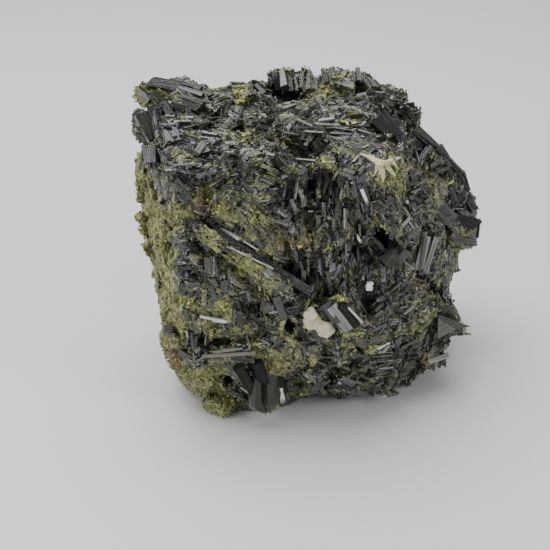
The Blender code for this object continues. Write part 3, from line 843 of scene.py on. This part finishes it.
# The larger crystals that the photograph shows: where each starts and ends and how wide it is, in
# its pixels, its thickness as a share of the width, and its tone, olive and rust. An olive and a
# rust of 0 at the end are left out.
SHOWN = (
    # Top left corner.
    (203, 89, 175, 82, 7, 0.7, 0.06), (203, 95, 176, 86, 4.5, 0.8, 0.05),
    (203, 108, 176, 100, 12.5, 0.7, 0.08, 0.15), (164, 108, 148, 111, 9.5, 0.7, 0.15, 0.3),
    (184, 111, 171, 108, 9.5, 0.7, 0.15), (188, 116, 184, 106, 9.5, 0.6, 0.3, 0, 0.2),
    (133, 121, 147, 137, 1.5, 4, 0.7, 0.2), (157, 114, 163, 136, 1.5, 4, 0.6, 0.1),
    # Thin light blades on the top; the brightest are painted glints.
    (166, 117, 194, 119, 2, 0.8, 0.95), (167, 122, 191, 123, 2, 0.8, 0.75, 0, 0.1),
    (196, 154, 205, 143, 6.5, 0.5, 0.95), (314, 124, 334, 125, 2, 0.8, 1),
    (319, 121, 334, 119, 2, 0.8, 0.85), (338, 122, 345, 117, 2, 0.8, 0.85),
    (283, 111, 296, 106, 2.5, 0.6, 0.8), (231, 128, 243, 124, 3, 0.6, 0.7),
    (252, 118, 266, 122, 2, 0.6, 0.75), (277, 123, 293, 124, 2, 0.6, 0.5),
    (297, 160, 316, 162, 1.5, 0.8, 0.8), (257, 125, 271, 128, 3.5, 0.6, 0.4),
    # Back of the top.
    (299, 91, 296, 74, 7, 0.7, 0.12, 0.35), (306, 93, 306, 72, 9, 0.6, 0.1, 0.5),
    (314, 91, 312, 76, 9, 0.6, 0.15, 0.5), (332, 86, 329, 71, 14, 0.8, 0.25, 0.4),
    (358, 85, 356, 72, 15.5, 0.8, 0.35, 0.2), (377, 91, 372, 79, 14, 0.8, 0.3, 0.3),
    (290, 95, 285, 88, 12, 0.7, 0.02),
    # Right upper edge.
    (400, 104, 414, 128, 10.5, 0.6, 0.12), (411, 127, 435, 149, 12, 0.6, 0.14),
    (437, 146, 463, 178, 11, 0.6, 0.1), (460, 173, 469, 196, 10.5, 0.6, 0.22, 0.1),
    (467, 197, 474, 212, 11, 0.7, 0.25), (433, 217, 458, 225, 9, 0.6, 0.55),
    (362, 151, 376, 136, 11, 0.5, 0.25), (398, 131, 403, 154, 9.5, 0.6, 0.1),
    # Right flank. Its two small white slivers are painted glints, and its wide steel-grey block is lighter
    # than its own colour, partly painted light where the lamps reach it little.
    (404, 197, 429, 182, 9.5, 0.6, 0.45), (409, 192, 427, 179, 3.5, 0.8, 0.65),
    (432, 199, 460, 225, 12.5, 0.5, 0.4, 0.05), (434, 223, 460, 213, 5.5, 0.6, 0.3, 0.1),
    (409, 178, 420, 171, 7, 0.6, 0.4), (434, 171, 450, 166, 7, 0.6, 0.4, 0.1),
    (415, 153, 418, 164, 2, 0.9, 1), (420, 164, 422, 159, 1.5, 0.9, 1),
    (419, 271, 429, 233, 17, 0.5, 0.82), (421, 263, 438, 236, 4.5, 0.6, 0.55, 0.05),
    (424, 206, 436, 197, 7, 0.6, 0.4), (447, 187, 455, 202, 9.5, 0.6, 0.3, 0.2),
    # Front, upper right. The white strips on the shiny crystal and the white square below are painted
    # glints.
    (361, 183, 368, 204, 8, 0.6, 0.55), (362, 188, 367, 200, 3, 0.9, 1.3),
    (367, 199, 370, 204, 3, 0.9, 0.9), (342, 171, 358, 176, 7, 0.5, 0.35),
    (314, 138, 321, 152, 7.5, 0.6, 0.4), (366, 286, 374, 286, 7, 0.5, 1.5),
    (357, 235, 361, 242, 2.5, 0.7, 1.3), (391, 235, 398, 246, 9.5, 0.6, 0.04),
    # Long blades on the front. The thin pale edges along the dark blade are painted highlights.
    (210, 229, 315, 294, 8, 0.8, 0.08), (221, 228, 240, 239, 2.5, 3, 0.9, 0, 0.05),
    (243, 241, 257, 250, 1.5, 5, 0.75, 0.1, 0.1), (226, 248, 272, 270, 2, 0.8, 0.7, 0.4),
    (270, 269, 302, 290, 2, 0.8, 0.65, 0.4), (179, 192, 188, 202, 9.5, 0.6, 0.35),
    (174, 180, 185, 192, 7, 0.6, 0.3, 0.1), (348, 307, 362, 322, 2, 0.8, 0.95),
    (323, 298, 328, 312, 5, 0.6, 0.15), (328, 301, 339, 296, 2.5, 0.7, 0.4, 0.9),
    (338, 301, 344, 292, 2, 0.7, 0.6, 0.9),
    # Lower left. Its first two, pale streaks, are painted glints.
    (201, 316, 228, 321, 2.5, 0.7, 1, 0.15), (214, 320, 227, 322, 2, 0.8, 1.2),
    (194, 353, 216, 339, 4.5, 0.7, 0.6, 0.25, 0.45), (203, 356, 256, 353, 4, 0.7, 0.5, 0.3, 0.35),
    (214, 352, 243, 348, 2.5, 0.7, 0.5, 0.1, 0.2), (224, 364, 252, 374, 5, 0.6, 0.15, 0.1, 0.2),
    (165, 329, 177, 331, 9.5, 0.8, 0.2, 0, 0.15),
    # Foot.
    (242, 386, 257, 396, 2.5, 0.8, 0.8, 0.4, 0.3), (247, 371, 252, 382, 1.5, 0.8, 0.55, 0, 0.3),
    (232, 361, 254, 364, 8, 0.6, 0.25), (309, 392, 329, 377, 7.5, 0.6, 0.45, 0.1),
    (316, 382, 325, 395, 5.5, 0.6, 0.4, 0.1), (321, 388, 335, 390, 4, 0.7, 0.35, 0.2),
    (346, 390, 368, 395, 6, 0.6, 0.3, 0.1), (299, 395, 321, 400, 5.5, 0.6, 0.3, 0.1),
    (370, 351, 381, 345, 2, 0.7, 1.1, 0.35), (377, 349, 388, 343, 2, 0.7, 1.3),
    (381, 352, 387, 345, 3, 0.7, 1.0, 0.4), (427, 362, 448, 355, 6, 0.5, 0.8, 0.1),
    (391, 377, 391, 386, 5, 0.6, 0.4),
    # Right lower edge.
    (448, 292, 462, 320, 14, 0.6, 0.15), (438, 341, 455, 334, 7, 0.6, 0.3, 0.1),
    (403, 286, 413, 296, 9.5, 0.6, 0.12, 0.1, 0.3), (448, 272, 446, 286, 4.5, 0.7, 0.3, 0.2),
)
SHOWN_VALUES = 9

# Blocky crystals, one prism each, with a share by which the end is narrower than the root.
BLOCKS = (
    # Top left corner.
    (176, 88, 150, 79, 14, 0.8, 0.12, 0.3, 0, 0.9), (150, 101, 139, 92, 9, 0.9, 0.15, 0.35, 0.1, 0.8),
    (162, 103, 151, 93, 11, 0.9, 0.2, 0.35, 0, 0.8), (147, 109, 155, 137, 24, 0.8, 0.06, 0.12, 0, 0.65),
    (164, 104, 172, 118, 9, 0.8, 0.02, 0, 0, 0.9), (151, 146, 152, 163, 16, 0.9, 0.06, 0.15, 0, 0.85),
    # Back of the top.
    (279, 89, 275, 74, 8, 0.9, 0.3, 0.05, 0.05, 0.7), (285, 88, 282, 70, 9, 0.9, 0.4, 0.05, 0, 0.65),
    (291, 92, 290, 77, 6, 0.9, 0.25, 0.1, 0, 0.7), (378, 117, 395, 136, 19, 0.5, 0.05, 0, 0, 0.8),
    # Front, below the long blades and beside the quartz.
    (266, 273, 284, 297, 8, 0.6, 0.8, 0, 0, 0.8), (280, 291, 295, 309, 8, 0.6, 0.7, 0, 0, 0.8),
    (276, 296, 284, 318, 9, 0.6, 0.15, 0.05, 0, 0.9), (210, 257, 211, 273, 12, 0.6, 0.5, 0.4, 0, 0.9),
    (324, 304, 337, 323, 9, 0.6, 0.12, 0, 0, 0.9), (331, 307, 349, 331, 12, 0.7, 0.82, 0, 0, 0.85),
    (340, 305, 357, 327, 8, 0.7, 0.04, 0, 0, 0.8),
    # Right pit and right arm.
    (384, 264, 402, 247, 14, 0.5, 0.06, 0, 0, 0.8), (398, 262, 409, 250, 9, 0.5, 0.1, 0, 0, 0.8),
    (456, 215, 481, 224, 14, 0.8, 0.02, 0, 0.1, 0.9), (442, 238, 477, 241, 10, 0.7, 0.3, 0.2, 0.1, 0.6),
    (446, 246, 459, 249, 6, 0.8, 0.15, 0.1, 0, 0.8), (438, 327, 465, 327, 25, 0.7, 0.3, 0.1, 0, 0.15),
    # Foot. The last, near-white face on the smoky crystal is a painted reflection.
    (238, 366, 253, 391, 11, 0.7, 0, 0, 0, 0.9), (257, 362, 263, 381, 12, 0.7, 0, 0, 0, 0.9),
    (273, 367, 284, 391, 9, 0.8, 0, 0, 0, 0.9), (219, 359, 256, 395, 4, 0.8, 0.5, 0.05, 0, 0.8),
    (280, 387, 285, 404, 5.5, 0.5, 1.5, 0, 0, 1),
)

# Parts of the photograph filled with slender crystals that share a direction: the corners of the
# part in pixels, how many, their direction, their lengths and widths in pixels, tones and olive.
RANKS = (
    ((286, 165), (362, 282), 60, (0.05, 1.0), (8, 26), (1.8, 4.5), (0.0, 0.35), 0.3),
    ((182, 262), (252, 345), 36, (0.1, 1.0), (6, 16), (1.8, 5.0), (0.1, 0.5), 0.35),
    ((205, 170), (280, 235), 26, (0.8, 0.5), (6, 16), (1.8, 4.0), (0.1, 0.5), 0.35),
    ((371, 352), (388, 380), 26, (1.0, -0.15), (7, 15), (1.0, 1.8), (0.25, 0.75), 0.15),
    ((300, 335), (365, 385), 26, (0.9, 0.3), (8, 18), (2.0, 5.0), (0.2, 0.6), 0.25),
    ((365, 290), (440, 350), 34, (0.75, -0.5), (8, 18), (1.6, 4.0), (0.2, 0.7), 0.2),
    ((170, 118), (390, 135), 40, (1.0, 0.05), (10, 26), (1.2, 2.4), (0.2, 0.85), 0.15),
    ((400, 150), (465, 240), 34, (0.7, -0.7), (8, 22), (2.5, 6.0), (0.15, 0.6), 0.1),
)


def clear_of_shown(pixel):
    """False where a crystal of BLOCKS or SHOWN already covers this pixel."""
    for x0, y0, x1, y1, wide, *_ in (*BLOCKS, *SHOWN):
        start, way = np.array((x0, y0)), np.array((x1 - x0, y1 - y0))
        t = np.clip((pixel - start) @ way / (way @ way), 0, 1)
        if np.linalg.norm(pixel - start - t * way) < 0.5 * wide + 2.5:
            return False
    return True


def rank_rows():
    """Rows like those of SHOWN, drawn at random for each of RANKS."""
    rows = []
    for low, high, count, way, lengths, widths, tones, olive in RANKS:
        for _ in range(count):
            start = rng.uniform(low, high)
            turn = unit(np.array(way) + rng.normal(size=2) * 0.16)
            end = start + turn * rng.uniform(*lengths)
            if hit(*end) is None or not clear_of_shown((start + end) / 2):
                continue
            rows.append((
                *start, *end, rng.uniform(*widths), rng.uniform(0.5, 0.8), rng.uniform(*tones),
                olive * rng.uniform(0, 2), 0.0,
            ))
    return rows


# A crystal's line is fitted at these shares of its length, and it runs away from the camera by this
# share of its length at most.
PROBES = np.linspace(0.08, 0.92, 5)
STEEPEST = 0.8
# A crystal is raised towards the camera by this much, one of BLOCKS by this much more, and this share
# of its thickness is sunk. Before that, its ends may stand this far out of the surface.
RISE, BLOCK_RISE, SUNK_SHARE, SEAT = 0.55, 0.25, 0.3, 0.5
# Crystals under and over these tones get the dark material and the near-white material of the painted
# glints.
DARK_TONE, GLINT_TONE = 0.05, 1.2
# A crystal at least this wide is grown from several, about this wide.
SPLIT_WIDTH, SPLIT_STEP = 1.7, 1.1


def line_through(ends):
    """Depths along the ray at both ends of a crystal, from a line through those of the surface."""
    found = [hit(*(ends[0] + (ends[1] - ends[0]) * t)) for t in PROBES]
    good = [(t, f) for t, f in zip(PROBES, found) if f is not None]
    if len(good) < 2:
        return None
    t = np.array([g[0] for g in good])
    depth = np.array([g[1][0] for g in good])
    slope, start = np.polyfit(t, depth, 1)
    reach = np.linalg.norm(ends[1] - ends[0]) * PIXEL
    slope = np.clip(slope, -STEEPEST * reach, STEEPEST * reach)
    start = np.median(depth - slope * t)
    facing = unit(np.mean([g[1][1] for g in good], axis=0))
    return start, start + slope, facing


def laid(x0, y0, x1, y1):
    """The two ends of a crystal on the surface, the way to the camera and the surface's own."""
    ends = np.array([(x0, y0), (x1, y1)])
    found = line_through(ends)
    if found is None:
        return None
    rays = [ray_through(*end) for end in ends]
    return CAMERA + rays[0] * found[0], CAMERA + rays[1] * found[1], -unit(rays[0] + rays[1]), found[2]


def seated(point, most):
    """The point, drawn back to the surface where it stands further out than this."""
    place, normal, _, away = TREE.find_nearest(Vector(point))
    outward = np.array(normal) @ (point - np.array(place)) > 0
    if not outward or away <= most:
        return point
    return point + (np.array(place) - point) * (1 - most / away)


def shown_crystals():
    """The crystals of SHOWN, each laid on the surface where its pixels meet it. A wide one is made
    of several grown side by side."""
    made, light, dark = Crystals(), Crystals(), Crystals()
    places = []
    shown = [(*row, 0, 0)[:SHOWN_VALUES] for row in SHOWN]
    for x0, y0, x1, y1, wide, thick, tone, olive, rust, *narrow in (*BLOCKS, *shown, *rank_rows()):
        found = laid(x0, y0, x1, y1)
        if found is None:
            continue
        root, tip, view, facing = found
        width = wide * PIXEL
        height = max(thick * width, 1.4 if tone > 0.6 else 0.7)
        root, tip = seated(root, SEAT), seated(tip, SEAT)
        up = unit(0.4 * facing + view) if narrow else unit(facing + 0.5 * view)
        rise = view * (RISE + (BLOCK_RISE if narrow else 0.0) + (0.5 - SUNK_SHARE) * height)
        root, tip = root + rise, tip + rise
        places.append((root, tip, width * (0.55 if narrow else 1.0)))
        length = np.linalg.norm(tip - root)
        way = unit(tip - root)
        bunch = light if tone > GLINT_TONE else dark if tone < DARK_TONE else made
        if narrow:
            row = [np.array([v]) for v in (root, way, up, length, width, height)]
            slant = np.array([rng.uniform(-0.6, 0.6)])
            bunch.add(*row, BLOCK, slant, np.array(narrow), np.array([[tone, olive, rust, 1.0]]))
            continue
        across = unit(np.cross(up, way))
        count = 1 if width < SPLIT_WIDTH else int(2 + width / SPLIT_STEP)
        share = (np.arange(count) + 0.5) / count - 0.5
        one = count == 1
        widths = np.full(count, width) if one else width / count * rng.uniform(1.1, 1.8, count)
        heights = height * (np.ones(1) if one else rng.uniform(0.6, 1.0, count))
        shift = across * (share * width * 0.9)[:, None]
        starts = root + shift + up * (heights * rng.uniform(-0.12, 0.12, count))[:, None]
        loose = 0.0 if one else min(1.0, 7.0 / length)
        starts = starts + way * (length * loose * rng.uniform(0, 0.14, count))[:, None]
        lengths = length * (1 - loose * rng.uniform(0, 0.4, count))
        lay = way + 0.08 * loose * rng.normal(size=(count, 3))
        ups = up + across * (rng.uniform(-0.3, 0.3, count) if not one else np.zeros(1))[:, None]
        tones = np.tile(np.array([tone, olive, rust, 1.0]), (count, 1))
        tones[:, 0] *= rng.uniform(0.75, 1.25, count)
        section = GROOVED if width > 1.2 and tone < 0.6 else LATH
        slants = rng.uniform(-0.5, 0.5, count)
        bunch.add(starts, lay, ups, lengths, widths, heights, section, slants, np.full(count, 0.97), tones)
    return made, light, dark, places


# Pale lumps, yellow specks and the smoky crystal.

def lump(name, spots, material, flat, voxel, rough):
    """One rounded, slightly broken lump over these spots: pixel, and radius in pixels."""
    bm = bmesh.new()
    for px, py, radius in spots:
        middle = point_at(px, py)
        if middle is None:
            continue
        view = -unit(ray_through(px, py))
        size = radius * PIXEL
        turn = Vector(view).to_track_quat("Z", "Y").to_matrix().to_4x4()
        stretch = Matrix.Diagonal((size, size, size * flat, 1.0))
        place = Matrix.Translation(Vector(middle + view * 0.5))
        bmesh.ops.create_icosphere(bm, subdivisions=2, radius=1.0, matrix=place @ turn @ stretch)
    bmesh.ops.scale(bm, vec=(MM, MM, MM), verts=bm.verts[:])
    balls = bpy.data.meshes.new(name)
    bm.to_mesh(balls)
    bm.free()
    mesh = remeshed(balls, voxel)
    co, normal = places_of(mesh)
    co += normal * (rough * 1.4 * fractal(co, 1.8) + rough * 0.6 * fractal(co + 5.0, 0.7))[:, None]
    set_places(mesh, np.clip(co, LOW, HIGH))
    add_piece(name, mesh, material)


QUARTZ_SPOTS = (
    (318, 304, 3), (315, 307, 3.5), (331, 322, 3), (311, 311, 4.5), (308, 315, 4.5), (313, 315, 5),
    (307, 321, 4.5), (312, 321, 5.5), (306, 326, 3), (311, 326, 4.5), (316, 325, 5), (317, 319, 4),
    (320, 324, 4.5), (321, 329, 5.5), (325, 326, 5), (329, 325, 4), (330, 330, 5), (326, 333, 5),
    (321, 333, 4), (332, 327, 3),
)
CREAM_SPOTS = (
    (371, 158, 3), (376, 162, 3.5), (381, 165, 4), (386, 166, 3), (383, 172, 3), (404, 197, 2.5),
    (407, 203, 2.5),
)
# The cream patch's angular arms: start and end pixels, and width in pixels.
CREAM_ARMS = (
    (374, 159, 361, 154, 4), (386, 165, 371, 158, 7), (384, 165, 399, 157, 7), (381, 163, 384, 179, 8),
    (387, 166, 395, 175, 5), (378, 164, 376, 173, 5), (372, 158, 379, 164, 5), (391, 160, 398, 168, 4),
)


def cream_chips():
    made = Crystals()
    for x0, y0, x1, y1, wide in CREAM_ARMS:
        found = laid(x0, y0, x1, y1)
        if found is None:
            continue
        root, tip, view, _ = found
        root, tip = root + view * 1.0, tip + view * 0.8
        way = tip - root
        width = wide * PIXEL
        row = [np.array([v]) for v in (root, way, view, np.linalg.norm(way), width, 0.6 * wide * PIXEL)]
        made.add(*row, BLOCK, np.array([0.6]), np.array([0.35]), np.ones((1, 4)))
    made.build("cream_chips", FELDSPAR)


cream_chips()
lump("cream_quartz", QUARTZ_SPOTS, QUARTZ, flat=0.45, voxel=0.3, rough=0.2)
lump("cream_patch", CREAM_SPOTS, FELDSPAR, flat=0.5, voxel=0.25, rough=0.5)


# Bright yellow-green specks: pixel, reach in millimetres, how many.
SPECKS = (
    (354, 119, 1.3, 9), (348, 124, 1.0, 4), (248, 140, 1.0, 7), (243, 93, 1.6, 6), (322, 320, 0.8, 4),
    (322, 164, 1.2, 4), (297, 245, 1.4, 4), (206, 198, 1.4, 4), (219, 209, 1.0, 4), (375, 345, 1.6, 5),
    (222, 307, 1.5, 5), (183, 305, 1.8, 7), (340, 300, 1.0, 3), (330, 88, 1.5, 5), (448, 182, 1.0, 3),
)


def yellow_specks():
    made = Crystals()
    for px, py, reach, count in SPECKS:
        middle = point_at(px, py)
        if middle is None:
            continue
        view = -unit(ray_through(px, py))
        points = middle + view * 0.6 + rng.normal(size=(count, 3)) * reach * 0.5
        size = rng.uniform(0.3, 0.7, count)
        made.add(
            points, rng.normal(size=(count, 3)), rng.normal(size=(count, 3)), size * 2.2, size, size * 0.7,
            LATH, np.zeros(count), np.ones(count), np.ones((count, 4)),
        )
    made.build("yellow_specks", YELLOW)


yellow_specks()


# The smoky crystal: its ends in pixels, its outline across, the grain's reach over a face and along it,
# how wide it counts as, and its rings: share of the length, half width, half thickness, lean sideways.
SMOKY_START, SMOKY_END = np.array((254.0, 371.0)), np.array((266.0, 411.0))
SMOKY_FACE, SMOKY_GRAIN, SMOKY_WIDTH = 1.6, 12, 7.5
SMOKY_OUTLINE = np.array([
    (1, 0), (0.6, 0.8), (0.1, 1), (-0.1, 0.3), (-0.65, 0.75), (-1, 0), (-0.5, -1), (0.6, -1),
])
SMOKY_RINGS = (
    (0.0, 3.6, 1.2, 1.8), (0.25, 3.7, 1.6, 1.8), (0.55, 4.0, 2.1, 1.0), (0.75, 4.1, 2.0, 0.4),
    (0.88, 3.4, 1.6, 0.4), (0.96, 2.2, 1.3, 0.4), (1.0, 1.0, 0.9, 0.3),
)


def smoky_crystal():
    """The big glassy crystal at the foot, pointing down and to the right, with a rounded end."""
    near, far, _ = line_through(np.array((SMOKY_START, SMOKY_END - (2.0, 6.0))))
    view = -unit(ray_through(*SMOKY_START))
    root = CAMERA + ray_through(*SMOKY_START) * near - view * 0.2
    tip = CAMERA + ray_through(*SMOKY_END) * far + view * 0.7
    way = unit(tip - root)
    across = unit(np.cross(view, way))
    up = unit(np.cross(way, across))
    corners = len(SMOKY_OUTLINE)
    rings = [
        root + (tip - root) * t + across * (SMOKY_OUTLINE[:, :1] * w + lean) + up * SMOKY_OUTLINE[:, 1:] * h
        for t, w, h, lean in SMOKY_RINGS
    ]
    verts = np.clip(np.concatenate(rings), LOW + EDGE, HIGH - EDGE)
    loops, sizes, uvs = [], [], []
    for ring in range(len(rings) - 1):
        low, high = ring * corners, (ring + 1) * corners
        from_v, to_v = (SMOKY_RINGS[ring + k][0] * SMOKY_GRAIN for k in (0, 1))
        for i in range(corners):
            j = (i + 1) % corners
            loops += [low + i, low + j, high + j, high + i]
            sizes.append(4)
            u = i * SMOKY_FACE
            uvs += [(u, from_v), (u + SMOKY_FACE, from_v), (u + SMOKY_FACE, to_v), (u, to_v)]
    last = (len(rings) - 1) * corners
    loops += [*range(corners - 1, -1, -1), *range(last, last + corners)]
    sizes += [corners, corners]
    uvs += [(0.0, 0.0)] * corners + [(0.0, SMOKY_GRAIN)] * corners
    add_polygons("smoky_crystal", verts, loops, sizes, uvs, np.ones((len(verts), 4)), SMOKY)
    return root, tip + 0.15 * (tip - root), SMOKY_WIDTH


# Everything is made.

# The sizes of crystals, in the order in which they grow: how many are tried, their widths, their
# lengths, their thicknesses as shares of the width, how far they lean out, their stray, their tone, how
# far they are lifted, their outline, where they grow, and whether they are nearly free of olive.
GROWTHS = (
    (30000, (0.22, 0.6), (0.8, 3.0), (0.4, 0.9), (-0.35, 0.45), 0.5, 1.3, 0.36, LATH, off_flank, False),
    (12000, (0.5, 1.1), (1.2, 3.6), (0.3, 0.8), (-0.3, 0.4), 0.4, 1.2, 0.4, LATH, off_flank, False),
    (3600, (0.8, 1.9), (2.0, 5.0), (0.3, 0.8), (-0.2, 0.25), 0.3, 1.0, 0.4, LATH, off_flank, False),
    (1500, (1.0, 2.4), (2.0, 5.0), (0.6, 1.0), (-0.2, 0.3), 0.3, 0.9, 0.35, PRISM, off_flank, False),
    (340, (1.8, 3.2), (4.0, 8.0), (0.4, 0.7), (-0.18, 0.02), 0.2, 0.9, 0.2, LATH, off_flank, False),
    (700, (0.5, 1.6), (1.5, 4.0), (0.4, 0.8), (-0.1, 0.3), 0.4, 1.0, 0.3, LATH, on_flank, True),
    (30000, (0.25, 0.6), (0.6, 2.0), (0.3, 0.7), (-0.1, 0.5), 0.8, 1.3, 0.35, LATH, on_flank, False),
    (16000, (0.16, 0.34), (0.7, 2.4), (0.5, 1.0), (-0.2, 0.5), 0.6, 1.3, 0.42, LATH, off_flank, False),
)

LARGER, PAINTED_GLINT_FACES, DARK_FACES, PLACES = shown_crystals()
PLACES.append(smoky_crystal())
LARGER.build("shown_crystals", CRYSTAL)
PAINTED_GLINT_FACES.build("painted_glint_faces", PAINTED_GLINT)
DARK_FACES.build("dark_faces", NIGHT)
bare_crystals()
grown_body()
bunches = [Crystals() for _ in SIDES]
for growth in GROWTHS:
    grow(bunches, *growth)
for side, name in enumerate(SIDES):
    bunches[side].build("crystals_" + name, CRYSTAL)


# Floor, light and camera, in metres.

FLOOR_HALF, FLOOR_COLOUR = 3.0, (0.545, 0.55, 0.55)
WORLD_COLOUR, WORLD_STRENGTH = (0.98, 1.0, 1.0, 1.0), 0.27
# The lamps: where each is, the height over the origin at which it is aimed, its side, its power.
LAMPS = {
    "top": ((-0.15, 0.15, 0.7), 0.04, 0.8, 11.2),
    "left": ((-0.75, -0.42, 0.24), 0.03, 0.75, 8.0),
    "right": ((0.65, -0.5, 0.4), 0.04, 0.4, 4.6),
}


def add_floor():
    mesh = bpy.data.meshes.new("floor")
    corners = [(x * FLOOR_HALF, y * FLOOR_HALF, 0) for x, y in ((-1, -1), (1, -1), (1, 1), (-1, 1))]
    mesh.from_pydata(corners, [], [(0, 1, 2, 3)])
    mesh.materials.append(Nodes("pale_floor", FLOOR_COLOUR, 0.6, 1.4).material)
    floor = add_object("floor", mesh)


def add_lamp(name, place, height, size, power):
    data = bpy.data.lights.new(name, "AREA")
    data.shape = "SQUARE"
    data.size = size
    data.energy = power
    lamp = add_object(name, data)
    lamp.location = place
    lamp.rotation_euler = (Vector((0, 0, height)) - Vector(place)).to_track_quat("-Z", "Y").to_euler()


def add_world():
    world = bpy.data.worlds.new("studio")
    world.use_nodes = True
    background = world.node_tree.nodes["Background"]
    background.inputs["Color"].default_value = WORLD_COLOUR
    background.inputs["Strength"].default_value = WORLD_STRENGTH
    bpy.context.scene.world = world


def add_camera():
    data = bpy.data.cameras.new("camera")
    data.sensor_width = SENSOR
    data.lens = FOCAL / PHOTO * SENSOR
    camera = add_object("camera", data)
    turn = Matrix((CAM_X, CAM_Y, -AHEAD)).transposed().to_4x4()
    camera.matrix_world = Matrix.Translation(Vector(CAMERA * MM)) @ turn
    bpy.context.scene.camera = camera


add_floor()
add_world()
for name, lamp in LAMPS.items():
    add_lamp(name, *lamp)
add_camera()
